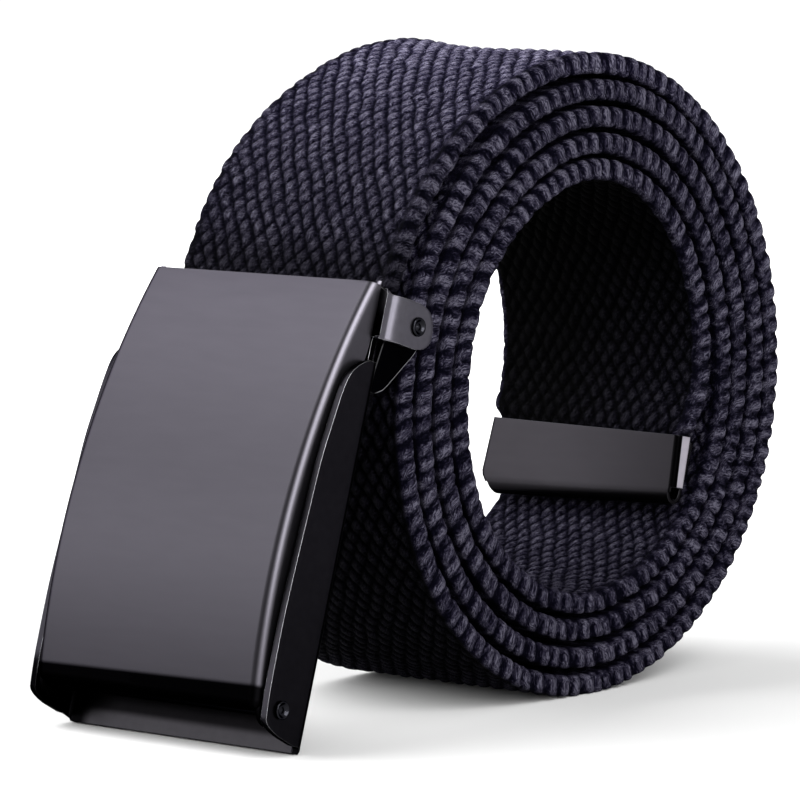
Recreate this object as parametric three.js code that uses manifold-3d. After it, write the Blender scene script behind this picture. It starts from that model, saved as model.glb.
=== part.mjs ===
// A woven canvas web belt, rolled up, with a flip-top friction buckle.
// Millimetres, +Z up. The roll's axis runs along Y and its near edge is at -Y.
// The buckle hangs down the -X side of the roll and its lower edge rests on the ground beside it.
import * as THREE from 'three';
import { mergeVertices } from 'three/addons/utils/BufferGeometryUtils.js';
import Module from 'manifold-3d';

const wasm = await Module();
wasm.setup();

// ---------------------------------------------------------------- driving dimensions
const WEB_NEAR = -19.0;          // webbing edges across the belt (Y)
const WEB_FAR = 18.2;
const WEB_HALF_T = 1.5;          // half the webbing's thickness
const WEB_EDGE = 0.8;            // how far the rounded edge reaches in
const WEB_FLAT = 0.55;           // half height of the blunt edge
const TURN_STEP = 6;             // degrees between sections of the roll
const REST_HALF_ANGLE = 3.6;     // half the flattened patch the roll stands on, degrees

const PLATE_ORIGIN = [-45.742, 16.576];   // X, Z of the buckle's own origin
const PLATE_LEAN = 17.3;                  // degrees from the vertical
const SHEET = 1.0;                        // buckle sheet thickness
const FRAME_HALF = 22.0;                  // half width over the side walls
const COVER_HALF = 20.5;                  // half width of the flip-top
const FRAME_BEND = 1.6;                   // outer bend radius of the frame
const COVER_BEND = 1.4;                   // outer bend radius of the cover
const COVER_TOP = 0.7, COVER_LIP = 59.9;  // where the cover's straight part starts and ends (u)
const PIVOT = [60.6, 6.4];                // cover hinge (u, v)
const PIVOT_R = 1.15, PIVOT_HOLE_R = 1.45;
const JAW_PIN = [4.7, -6.1];              // clamp hinge (u, v)
const JAW_PIN_R = 0.95, JAW_HOLE_R = 1.28;

// Roll: radius of the webbing's middle, a row per direction, a column per turn from the outside in.
const ROLL = {
  columns: ['angle', 'turn1', 'turn2', 'turn3', 'turn4', 'turn5'],
  rows: [
    [150, 45.6, 39.7, 35.6, 31.8, 28.0],
    [120, 44.9, 40.1, 35.9, 32.0, 28.3],
    [90, 45.1, 41.2, 37.35, 33.5, 29.75],
    [60, 45.3, 41.8, 37.9, 33.95, 30.1],
    [30, 45.1, 41.3, 37.35, 33.4, 29.0],
    [0, 45.0, 41.2, 37.05, 33.1, 28.0],
    [-30, 45.3, 41.5, 37.5, 33.8, null],
    [-60, 45.2, 41.15, 37.15, 33.3, null],
    [-90, 44.7, 40.75, 36.7, 32.8, null],
    [-120, 43.9, 39.75, 35.5, 31.6, null],
    [-150, 42.1, 38.1, 33.9, 29.9, null],
    [-180, 40.3, 36.2, 32.1, 28.1, null],
  ],
};
// How far the far edge of each turn is pushed out, most at PUSH_AT, none PUSH_SPAN away from it.
const PUSH = [0.8, 1.4, 2.1, 2.6, 0];
const PUSH_AT = -38, PUSH_SPAN = 50;
const INNER_FLARE = 0.9;         // the innermost turn's far edge, all along

// Clamped end of the webbing behind the buckle's plate (u, v of its middle), lower end first.
const LEAD = [[19.5, -1.9], [15, -1.9], [11, -1.91], [7.5, -1.98], [4, -2.2], [0.5, -2.6], [-3, -3.12]];

// Free end: middle of the webbing from the last turn to the tip's mouth, near edge and far edge.
const TAIL = {
  columns: ['xNear', 'zNear', 'xFar', 'zFar'],
  rows: [
    [27.75, -2.6, 28.65, -2.6],
    [26.9, -5.2, 28.15, -5.2],
    [25.6, -7.6, 27.5, -7.5],
  ],
};
// Metal tip: front face, upper and lower end, at its near and far side.
const TIP = {
  near: { y: -19.3, top: [21.6, -10.2], bottom: [19.8, -19.7] },
  far: { y: 18.4, top: [24.4, -10.3], bottom: [22.4, -21.2] },
  sheet: 0.65,
  mouth: 4.9,                    // outside thickness at the open mouth
  fold: 3.3,                     // outside thickness above the folded end
  lip: 0.6,                      // side lips' thickness
};
// Tongue of the webbing inside the tip: distance in, depth of its middle, half thickness, inset of its edges.
const TONGUE = {
  columns: ['p', 'q', 'half', 'inset'],
  rows: [
    [-1.3, 2.5, 1.5, 0.0],
    [-0.3, 2.47, 1.4, 0.95],
    [1.2, 2.4, 1.3, 1.0],
    [4.0, 2.1, 1.05, 1.0],
    [7.0, 1.78, 0.74, 1.0],
  ],
};

// Side walls: front edge of the wall (u, height above the plate's back).
const WALL = [
  [11.4, 2.3], [11.9, 3.45], [13.8, 5.6], [15.6, 6.4], [21.4, 7.5], [27.0, 8.3], [33.5, 8.7], [41.5, 9.15],
  [49.5, 9.45], [56.6, 9.4], [62.3, 9.0], [62.8, 8.7], [63.4, 7.8], [64.1, 6.0], [64.5, 4.2], [64.85, 2.5],
];
// Ears bent the other way at the top (u, depth behind the plate's back).
const EAR = [[1.55, 6.2], [2.3, 8.2], [3.5, 9.1], [4.7, 9.45], [5.9, 9.5], [7.2, 8.5], [7.85, 6.7]];
// Cover flanges: rear edge (u, v).
const FLANGE = [
  [0.7, 1.42], [3.8, 1.35], [8.9, 1.45], [11.2, 1.8], [14, 3.2], [20, 5.0], [30, 6.0], [42, 6.4], [52, 5.4],
  [57.4, 3.9], [59.9, 3.8],
];
// Clamp jaw seen from the side (u, v).
const JAW_SIDE = [
  [2.9, -6.9], [2.9, -5.5], [3.6, -4.4], [5.2, -3.0], [8, -1.5], [12, -0.8], [15.1, -0.6], [15.4, -1.4],
  [15.1, -2.2], [14.1, -4.0], [12.6, -5.5], [11, -6.75], [9.3, -8.2], [7.5, -9.1], [5.6, -8.7], [3.8, -8.1],
];
const JAW_WEB = [[3.5, -6.1], [4.4, -5.2], [13.1, -4.5], [14.9, -3.75], [15.15, -4.3], [13.5, -5.4], [4.5, -6.1]];
const JAW_IN = 19.6, JAW_OUT = 20.4;

// ---------------------------------------------------------------- helpers
const rad = THREE.MathUtils.degToRad;
const lean = rad(PLATE_LEAN);
const D = [-Math.sin(lean), -Math.cos(lean)];     // down the plate
const N = [-Math.cos(lean), Math.sin(lean)];      // out of the plate's front
const at = (u, v, y) => new THREE.Vector3(
  PLATE_ORIGIN[0] + u * D[0] + v * N[0], y, PLATE_ORIGIN[1] + u * D[1] + v * N[1]);
const lerp = (a, b, t) => a + (b - a) * t;

function table(rows, x) {                          // straight lines between a table's rows
  if (x <= rows[0][0]) return rows[0][1];
  for (let i = 1; i < rows.length; i++) {
    if (x <= rows[i][0]) return lerp(rows[i - 1][1], rows[i][1], (x - rows[i - 1][0]) / (rows[i][0] - rows[i - 1][0]));
  }
  return rows[rows.length - 1][1];
}

function cubic(xs, ys) {                           // natural cubic spline
  const n = xs.length, m = new Array(n).fill(0), c = new Array(n).fill(0), d = new Array(n).fill(0);
  for (let i = 1; i < n - 1; i++) {
    const a = xs[i] - xs[i - 1], b = xs[i + 1] - xs[i];
    const p = 2 * (a + b) - a * c[i - 1];
    c[i] = b / p;
    d[i] = (6 * ((ys[i + 1] - ys[i]) / b - (ys[i] - ys[i - 1]) / a) - a * d[i - 1]) / p;
  }
  for (let i = n - 2; i > 0; i--) m[i] = d[i] - c[i] * m[i + 1];
  return (x) => {
    let k = 0;
    while (k < n - 2 && x > xs[k + 1]) k++;
    const h = xs[k + 1] - xs[k], s = xs[k + 1] - x, t = x - xs[k];
    return (m[k] * s ** 3 + m[k + 1] * t ** 3) / (6 * h)
      + (ys[k] / h - m[k] * h / 6) * s + (ys[k + 1] / h - m[k + 1] * h / 6) * t;
  };
}

// A closed skin over a row of equal rings. flat holds the ring's own 2D outline for the end caps.
function loft(rings, flats) {
  const n = rings[0].length, pos = [], tri = [];
  const area = THREE.ShapeUtils.area(flats[0].map((p) => new THREE.Vector2(p[0], p[1])));
  if (area < 0) {
    rings = rings.map((r) => [...r].reverse());
    flats = flats.map((r) => [...r].reverse());
  }
  for (const r of rings) for (const p of r) pos.push(p.x, p.y, p.z);
  for (let i = 0; i < rings.length - 1; i++) {
    for (let j = 0; j < n; j++) {
      const a = i * n + j, b = i * n + (j + 1) % n, c = a + n, e = b + n;
      tri.push(a, b, e, a, e, c);
    }
  }
  const cap = (flat, base, forward) => {
    const pts = flat.map((p) => new THREE.Vector2(p[0], p[1]));
    for (const [a, b, c] of THREE.ShapeUtils.triangulateShape(pts, [])) {
      const s = (pts[b].x - pts[a].x) * (pts[c].y - pts[a].y) - (pts[c].x - pts[a].x) * (pts[b].y - pts[a].y);
      const t = (s > 0) === forward ? [a, b, c] : [a, c, b];
      tri.push(base + t[0], base + t[1], base + t[2]);
    }
  };
  cap(flats[0], 0, false);
  cap(flats[flats.length - 1], (rings.length - 1) * n, true);
  let volume = 0;
  const P = (k) => new THREE.Vector3(pos[3 * k], pos[3 * k + 1], pos[3 * k + 2]);
  for (let i = 0; i < tri.length; i += 3) volume += P(tri[i]).dot(P(tri[i + 1]).cross(P(tri[i + 2])));
  if (volume < 0) for (let i = 0; i < tri.length; i += 3) [tri[i + 1], tri[i + 2]] = [tri[i + 2], tri[i + 1]];
  const g = new THREE.BufferGeometry();
  g.setAttribute('position', new THREE.Float32BufferAttribute(pos, 3));
  g.setIndex(tri);
  return g;
}

// A plate with a (u, v) outline, between two values of Y.
const slab = (outline, y0, y1) => loft([y0, y1].map((y) => outline.map(([u, v]) => at(u, v, y))), [outline, outline]);

// A round bar along Y about (u, v).
function bar([u, v], r, y0, y1, sides = 20) {
  const ring = [];
  for (let k = 0; k < sides; k++) {
    const a = (k / sides) * 2 * Math.PI;
    ring.push([u + r * Math.cos(a), v + r * Math.sin(a)]);
  }
  return slab(ring, y0, y1);
}

function solid(geometry) {
  const g = mergeVertices(geometry, 1e-4);
  return new wasm.Manifold(new wasm.Mesh({
    numProp: 3,
    vertProperties: new Float32Array(g.attributes.position.array),
    triVerts: new Uint32Array(g.index.array),
  }));
}
function surface(manifold) {
  const m = manifold.getMesh();
  const g = new THREE.BufferGeometry();
  g.setAttribute('position', new THREE.Float32BufferAttribute(m.vertProperties, 3));
  g.setIndex([...m.triVerts]);
  return g;
}
const join = (list) => list.reduce((a, b) => a.add(b));

// ---------------------------------------------------------------- webbing
const order = [];
for (let turn = 1; turn <= 5; turn++) {
  for (const row of ROLL.rows) if (row[turn] !== null) order.push([360 * (turn - 1) - row[0], row[turn]]);
}
const radius = cubic(order.map((r) => r[0]), order.map((r) => r[1]));
const wStart = order[0][0], wEnd = order[order.length - 1][0];
const turnOf = (w) => Math.floor((w + 180) / 360);
function push(w) {
  const t = turnOf(w), angle = -(w - 360 * t);
  const x = Math.abs(angle - PUSH_AT) / PUSH_SPAN;
  const bump = x < 1 ? Math.cos(x * Math.PI / 2) ** 2 : 0;
  const inner = t >= 4 ? INNER_FLARE * Math.min(1, Math.max(0, (w - 1330) / 60)) : 0;
  return (PUSH[Math.min(t, 4)] ?? 0) * bump + inner;
}

const stations = [];             // near and far middle points, edge positions and half thickness
for (const [u, v] of LEAD) {
  const p = at(u, v, 0);
  stations.push({ n: [p.x, p.z], f: [p.x, p.z], y0: WEB_NEAR, y1: WEB_FAR, h: WEB_HALF_T });
}
const angles = [];
for (let w = wStart; w <= wEnd + 1e-6; w += TURN_STEP) {
  if (Math.abs(w - 90) < 0.6 * TURN_STEP) angles.push(90 - REST_HALF_ANGLE, 90 + REST_HALF_ANGLE);
  else angles.push(w);
}
const restStations = [];
for (const w of angles) {
  const r = radius(w), a = rad(-w), f = r + push(w);
  if (Math.abs(Math.abs(w - 90) - REST_HALF_ANGLE) < 1e-6) restStations.push(stations.length);
  stations.push({
    n: [r * Math.cos(a), r * Math.sin(a)], f: [f * Math.cos(a), f * Math.sin(a)],
    y0: WEB_NEAR, y1: WEB_FAR, h: WEB_HALF_T,
  });
}
for (const [xn, zn, xf, zf] of TAIL.rows) {
  stations.push({ n: [xn, zn], f: [xf, zf], y0: WEB_NEAR, y1: WEB_FAR, h: WEB_HALF_T });
}
// The tip's own axes at one side: along the face, and from its front to its back.
function tipFrame({ top, bottom }) {
  const L = Math.hypot(bottom[0] - top[0], bottom[1] - top[1]);
  const p = [(bottom[0] - top[0]) / L, (bottom[1] - top[1]) / L];
  const q = [-p[1], p[0]];
  return { L, place: (a, b) => [top[0] + a * p[0] + b * q[0], top[1] + a * p[1] + b * q[1]] };
}
const tipNear = tipFrame(TIP.near), tipFar = tipFrame(TIP.far);
for (const [p, q, half, inset] of TONGUE.rows) {
  stations.push({
    n: tipNear.place(p, q), f: tipFar.place(p, q), y0: WEB_NEAR + inset, y1: WEB_FAR - inset, h: half,
  });
}

const middle = stations.map((s) => [(s.n[0] + s.f[0]) / 2, (s.n[1] + s.f[1]) / 2]);
const rings = [], flats = [];
for (let i = 0; i < stations.length; i++) {
  const a = middle[Math.max(0, i - 1)], b = middle[Math.min(stations.length - 1, i + 1)];
  const L = Math.hypot(b[0] - a[0], b[1] - a[1]);
  const out = [-(b[1] - a[1]) / L, (b[0] - a[0]) / L];    // away from the roll's axis
  const s = stations[i], e = WEB_EDGE, k = Math.min(WEB_FLAT, s.h * 0.4);
  const flat = [
    [s.y0, -k], [s.y0 + e, -s.h], [s.y1 - e, -s.h], [s.y1, -k],
    [s.y1, k], [s.y1 - e, s.h], [s.y0 + e, s.h], [s.y0, k],
  ];
  rings.push(flat.map(([y, h]) => {
    const t = (y - WEB_NEAR) / (WEB_FAR - WEB_NEAR);
    return new THREE.Vector3(lerp(s.n[0], s.f[0], t) + out[0] * h, y, lerp(s.n[1], s.f[1], t) + out[1] * h);
  }));
  flats.push(flat);
}
// The roll stands on one level facet.
const ground = Math.min(...rings.flat().map((p) => p.z));
for (const i of restStations) for (const k of [5, 6]) rings[i][k].z = ground;
const strap = loft(rings, flats);

// ---------------------------------------------------------------- metal tip
const pieces = [];
{
  const outline = (L) => {
    const t = TIP.sheet, m = TIP.mouth, f = TIP.fold;
    return [
      [0, 0], [L - 1.0, 0], [L - 0.3, 0.25], [L + 0.2, 0.9], [L + 0.32, 1.65], [L + 0.1, 2.5], [L - 0.6, f],
      [0.8, m], [0.8, m - t], [L - 1.0, f - t], [L - 0.55, 2.0], [L - 0.5, 1.4], [L - 0.8, 0.9], [L - 1.3, t], [0, t],
    ];
  };
  const ring = (frame, y, pts) => pts.map(([p, q]) => {
    const c = frame.place(p, q);
    return new THREE.Vector3(c[0], y, c[1]);
  });
  const oN = outline(tipNear.L), oF = outline(tipFar.L);
  const body = loft([ring(tipNear, TIP.near.y, oN), ring(tipFar, TIP.far.y, oF)], [oN, oF]);
  const lip = (L) => [[0.3, 0.1], [L - 1.1, 0.1], [L - 1.1, 2.2], [0.3, 2.9]];
  const near = loft([ring(tipNear, TIP.near.y, lip(tipNear.L)), ring(tipNear, TIP.near.y + TIP.lip, lip(tipNear.L))],
    [lip(tipNear.L), lip(tipNear.L)]);
  const far = loft([ring(tipFar, TIP.far.y - TIP.lip, lip(tipFar.L)), ring(tipFar, TIP.far.y, lip(tipFar.L))],
    [lip(tipFar.L), lip(tipFar.L)]);
  pieces.push(['strap_tip', surface(join([solid(body), solid(near), solid(far)])), 'tip']);
}

// ---------------------------------------------------------------- buckle frame
{
  const plateEnd = (PLATE_ORIGIN[1] - ground) / Math.cos(lean);   // its lower edge reaches the ground
  const side = [
    [20.0, COVER_TOP], [20.5, COVER_TOP + 0.25], [20.5, 7.9], [20.2, 8.4], [20.2, 11.0], [20.5, 11.5],
    [20.5, plateEnd - 2.2], [FRAME_HALF - 0.2, plateEnd - 0.9], [FRAME_HALF - 0.8, plateEnd],
  ];
  const outline = [...side, ...side.map(([y, u]) => [-y, u]).reverse()];
  const plate = loft([0, SHEET].map((v) => outline.map(([y, u]) => at(u, v, y))), [outline, outline]);

  // One bent edge: root inside the plate, round the bend, up the wall, and back down its inner face.
  const bend = (height, dir) => {
    const c = FRAME_HALF - FRAME_BEND, pts = [[c - 0.4, 0], [c, 0]];
    for (const a of [22.5, 45, 67.5, 90]) pts.push([c + FRAME_BEND * Math.sin(rad(a)), FRAME_BEND * (1 - Math.cos(rad(a)))]);
    pts.push([FRAME_HALF, height], [FRAME_HALF - SHEET, height]);
    const ri = FRAME_BEND - SHEET;
    for (const a of [90, 60, 30, 0]) pts.push([c + ri * Math.sin(rad(a)), SHEET + ri * (1 - Math.cos(rad(a)))]);
    pts.push([c - 0.4, SHEET]);
    return dir > 0 ? pts : pts.map(([y, v]) => [y, SHEET - v]);
  };
  const strip = (rows, dir, sgn) => {
    const fl = rows.map(([, h]) => bend(dir > 0 ? h : h + SHEET, dir).map(([y, v]) => [sgn * y, v]));
    return loft(rows.map(([u], i) => fl[i].map(([y, v]) => at(u, v, y))), fl);
  };
  let frame = solid(plate);
  for (const sgn of [-1, 1]) {
    frame = frame.add(solid(strip(WALL, 1, sgn)));
    frame = frame.add(solid(strip(EAR, -1, sgn)));
  }
  frame = frame.subtract(solid(bar(PIVOT, PIVOT_HOLE_R, -30, 30)));
  frame = frame.subtract(solid(bar(JAW_PIN, JAW_HOLE_R, -30, -20.8)));
  frame = frame.subtract(solid(bar(JAW_PIN, JAW_HOLE_R, 20.8, 30)));
  pieces.push(['buckle_frame', surface(frame), 'steel']);
}

// ---------------------------------------------------------------- flip-top cover
{
  const front = (u) => 11.5 - (110 - Math.sqrt(110 ** 2 - (u - 43) ** 2));
  const section = (u) => {
    const vf = front(u), vb = table(FLANGE, u);
    const r = Math.min(COVER_BEND, vf - vb - 0.15), ri = Math.max(0.15, r - SHEET * 0.85);
    const t = r - ri, c = COVER_HALF - r, half = [];
    half.push([COVER_HALF, vb]);
    for (const a of [0, 22.5, 45, 67.5, 90]) half.push([c + r * Math.cos(rad(a)), vf - r + r * Math.sin(rad(a))]);
    const inner = [];
    for (const a of [90, 60, 30, 0]) inner.push([c + ri * Math.cos(rad(a)), vf - r + ri * Math.sin(rad(a))]);
    inner.push([COVER_HALF - t, vb]);
    const flip = (list) => list.map(([y, v]) => [-y, v]).reverse();
    // Outer run from one flange edge to the other, then the inner run back.
    return [...half, ...flip(half), ...flip(inner), ...inner];
  };
  const us = [COVER_TOP, 2.2, 3.8, 6, 8.9, 11.2, 14, 17, 20, 25, 30, 36, 42, 48, 52, 55, 57.4, COVER_LIP];
  const fl = us.map(section);
  let cover = solid(loft(us.map((u, i) => fl[i].map(([y, v]) => at(u, v, y))), fl));
  // The lower edge rolls inwards.
  const vc = front(COVER_LIP) - 1.5, roll = [];
  for (const a of [90, 67.5, 45, 22.5, 0]) roll.push([COVER_LIP + 1.5 * Math.cos(rad(a)), vc + 1.5 * Math.sin(rad(a))]);
  roll.push([COVER_LIP + 1.5, vc - 0.6], [COVER_LIP + 0.65, vc - 0.6]);
  for (const a of [0, 45, 90]) roll.push([COVER_LIP + 0.65 * Math.cos(rad(a)), vc + 0.65 * Math.sin(rad(a))]);
  roll.push([COVER_LIP - 0.6, vc + 0.65], [COVER_LIP - 0.6, vc + 1.49]);
  cover = cover.add(solid(slab(roll, -19.9, 19.9)));
  for (const sgn of [-1, 1]) {
    cover = cover.add(solid(bar(PIVOT, 2.6, Math.min(sgn * 19.65, sgn * COVER_HALF), Math.max(sgn * 19.65, sgn * COVER_HALF), 28)));
  }
  cover = cover.subtract(solid(bar(PIVOT, PIVOT_HOLE_R, -30, 30)));
  pieces.push(['buckle_cover', surface(cover), 'cover']);
}

// ---------------------------------------------------------------- pins and rivets
{
  const pin = join([
    solid(bar(PIVOT, PIVOT_R, -22.35, 22.35)),
    solid(bar(PIVOT, 1.75, -22.75, -22.32, 24)),
    solid(bar(PIVOT, 1.75, 22.32, 22.75, 24)),
  ]);
  pieces.push(['cover_pin', surface(pin), 'pin']);
  for (const [name, sgn] of [['clamp_rivet_near', -1], ['clamp_rivet_far', 1]]) {
    const span = (a, b) => [Math.min(sgn * a, sgn * b), Math.max(sgn * a, sgn * b)];
    const rivet = join([
      solid(bar(JAW_PIN, JAW_PIN_R, ...span(19.65, 22.4))),
      solid(bar(JAW_PIN, 1.9, ...span(22.32, 22.8), 24)),
      solid(bar(JAW_PIN, 1.3, ...span(22.75, 23.05), 24)),
    ]);
    pieces.push([name, surface(rivet), 'pin']);
  }
}

// ---------------------------------------------------------------- clamp jaw
{
  const parts = [solid(slab(JAW_WEB, -JAW_OUT, JAW_OUT))];
  for (const [a, b] of [[-JAW_OUT, -JAW_IN], [JAW_IN, JAW_OUT]]) parts.push(solid(slab(JAW_SIDE, a, b)));
  let jaw = join(parts);
  jaw = jaw.subtract(solid(bar(JAW_PIN, JAW_HOLE_R, -30, -19.3))).subtract(solid(bar(JAW_PIN, JAW_HOLE_R, 19.3, 30)));
  pieces.push(['clamp_jaw', surface(jaw), 'steel']);
}

// ---------------------------------------------------------------- scene graph
const materials = {
  webbing: new THREE.MeshStandardMaterial({ color: 0x2b2933, roughness: 0.95, metalness: 0.0 }),
  steel: new THREE.MeshStandardMaterial({ color: 0x35343a, roughness: 0.35, metalness: 0.9 }),
  cover: new THREE.MeshStandardMaterial({ color: 0x77737d, roughness: 0.45, metalness: 0.7 }),
  tip: new THREE.MeshStandardMaterial({ color: 0x6a6870, roughness: 0.4, metalness: 0.8 }),
  pin: new THREE.MeshStandardMaterial({ color: 0x2a292d, roughness: 0.25, metalness: 0.9 }),
};
const belt = new THREE.Group();
for (const [name, geometry, look] of [['strap', strap, 'webbing'], ...pieces]) {
  geometry.computeVertexNormals();
  const mesh = new THREE.Mesh(geometry, materials[look].clone());
  mesh.name = name;
  belt.add(mesh);
}
// The row's origin is under the middle of the belt, on the ground.
const box = new THREE.Box3().setFromObject(belt);
belt.position.set(-(box.min.x + box.max.x) / 2, -(box.min.y + box.max.y) / 2, -box.min.z);

export default belt;
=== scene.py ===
import math
import bpy
import numpy as np
from mathutils import Matrix, Vector


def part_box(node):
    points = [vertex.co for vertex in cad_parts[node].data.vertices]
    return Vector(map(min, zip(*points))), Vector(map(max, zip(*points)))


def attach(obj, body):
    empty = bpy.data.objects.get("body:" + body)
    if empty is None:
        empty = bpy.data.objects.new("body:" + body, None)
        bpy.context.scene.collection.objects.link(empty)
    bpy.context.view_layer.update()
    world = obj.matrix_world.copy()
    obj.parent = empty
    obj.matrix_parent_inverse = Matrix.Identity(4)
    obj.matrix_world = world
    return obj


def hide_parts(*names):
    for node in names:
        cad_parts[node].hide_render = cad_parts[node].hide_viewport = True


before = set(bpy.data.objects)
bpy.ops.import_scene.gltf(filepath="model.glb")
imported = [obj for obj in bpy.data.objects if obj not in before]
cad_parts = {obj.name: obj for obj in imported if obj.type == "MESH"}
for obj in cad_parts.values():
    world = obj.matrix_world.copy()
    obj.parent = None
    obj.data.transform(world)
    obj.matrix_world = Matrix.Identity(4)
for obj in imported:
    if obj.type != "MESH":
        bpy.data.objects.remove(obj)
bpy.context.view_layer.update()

# ------------------------------------------------------------------ where things are
# All shapes are worked out in millimetres about the roll's axis, then moved to the frame.
LEAN = math.radians(17.3)
OX, OZ = -45.742, 16.576
D = np.array([-math.sin(LEAN), -math.cos(LEAN)])     # down the buckle's plate
N = np.array([-math.cos(LEAN), math.sin(LEAN)])      # out of the plate's front
PIVOT = (60.6, 6.4)
JAW_PIN = (4.7, -6.1)
lo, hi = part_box("cover_pin")
SX = (lo.x + hi.x) * 500 - (OX + PIVOT[0] * D[0] + PIVOT[1] * N[0])
SZ = (lo.z + hi.z) * 500 - (OZ + PIVOT[0] * D[1] + PIVOT[1] * N[1])
SHIFT = np.array([SX, 0.0, SZ])


def put(points):
    """Roll millimetres to frame metres."""
    return (np.asarray(points, float) + SHIFT) / 1000.0


def at(u, v, y):
    return (OX + u * D[0] + v * N[0], y, OZ + u * D[1] + v * N[1])


scene = bpy.context.scene


def mesh_object(name, points, faces, smooth=True, angle=35):
    me = bpy.data.meshes.new(name)
    me.from_pydata([tuple(p) for p in put(points)], [], [tuple(int(i) for i in f) for f in faces])
    me.validate()
    me.update()
    if smooth:
        me.polygons.foreach_set("use_smooth", [True] * len(me.polygons))
        me.set_sharp_from_angle(angle=math.radians(angle))
    ob = bpy.data.objects.new(name, me)
    scene.collection.objects.link(ob)
    return ob


def curve_through(rows):
    """A natural cubic through rows of numbers, by chord length of the first two columns' middle."""
    rows = np.asarray(rows, float)
    mid = (rows[:, 0:2] + rows[:, 2:4]) / 2
    s = np.concatenate([[0], np.cumsum(np.hypot(*np.diff(mid, axis=0).T))])
    n = len(s)
    h = np.diff(s)
    a = np.zeros((n, n))
    r = np.zeros_like(rows)
    a[0, 0] = a[-1, -1] = 1
    for i in range(1, n - 1):
        a[i, i - 1], a[i, i], a[i, i + 1] = h[i - 1], 2 * (h[i - 1] + h[i]), h[i]
        r[i] = 6 * ((rows[i + 1] - rows[i]) / h[i] - (rows[i] - rows[i - 1]) / h[i - 1])
    m = np.linalg.solve(a, r)

    def value(x):
        x = np.asarray(x, float)
        k = np.clip(np.searchsorted(s, x) - 1, 0, n - 2)
        hh, p, q = h[k][:, None], (s[k + 1] - x)[:, None], (x - s[k])[:, None]
        return ((m[k] * p ** 3 + m[k + 1] * q ** 3) / (6 * hh)
                + (rows[k] / hh - m[k] * hh / 6) * p + (rows[k + 1] / hh - m[k + 1] * hh / 6) * q)
    return value, s


def hermite(xs, ys):
    """Smooth, without overshoot, through a short table."""
    xs, ys = np.asarray(xs, float), np.asarray(ys, float)
    d = np.diff(ys) / np.diff(xs)
    m = np.zeros_like(ys)
    m[1:-1] = np.where(d[:-1] * d[1:] > 0, 2 * d[:-1] * d[1:] / (d[:-1] + d[1:] + 1e-12), 0)
    m[0], m[-1] = d[0], d[-1]

    def value(x):
        x = np.clip(np.asarray(x, float), xs[0], xs[-1])
        k = np.clip(np.searchsorted(xs, x) - 1, 0, len(xs) - 2)
        h = xs[k + 1] - xs[k]
        t = (x - xs[k]) / h
        return ((2 * t ** 3 - 3 * t ** 2 + 1) * ys[k] + (t ** 3 - 2 * t ** 2 + t) * h * m[k]
                + (-2 * t ** 3 + 3 * t ** 2) * ys[k + 1] + (t ** 3 - t ** 2) * h * m[k + 1])
    return value


# ------------------------------------------------------------------ materials
def new_material(name):
    m = bpy.data.materials.new(name)
    m.use_nodes = True
    nt = m.node_tree
    nt.nodes.clear()
    out = nt.nodes.new("ShaderNodeOutputMaterial")
    bsdf = nt.nodes.new("ShaderNodeBsdfPrincipled")
    nt.links.new(bsdf.outputs[0], out.inputs[0])
    return m, nt, bsdf


def node(nt, kind, **inputs):
    n = nt.nodes.new(kind)
    for k, v in inputs.items():
        if hasattr(n, k):
            setattr(n, k, v)
    return n


def maths(nt, op, a, b=None, c=None):
    n = nt.nodes.new("ShaderNodeMath")
    n.operation = op
    for i, x in enumerate((a, b, c)):
        if x is None:
            continue
        if isinstance(x, (int, float)):
            n.inputs[i].default_value = x
        else:
            nt.links.new(x, n.inputs[i])
    return n.outputs[0]


def noise(nt, vector, scale, detail=2.0, rough=0.5):
    n = nt.nodes.new("ShaderNodeTexNoise")
    n.inputs["Scale"].default_value = scale
    n.inputs["Detail"].default_value = detail
    n.inputs["Roughness"].default_value = rough
    nt.links.new(vector, n.inputs["Vector"])
    return n.outputs[0]


def ramp(nt, fac, stops):
    n = nt.nodes.new("ShaderNodeValToRGB")
    el = n.color_ramp.elements
    while len(el) < len(stops):
        el.new(0.5)
    for e, (p, c) in zip(el, stops):
        e.position = p
        e.color = (*c, 1) if len(c) == 3 else c
    nt.links.new(fac, n.inputs[0])
    return n.outputs[0]


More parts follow.
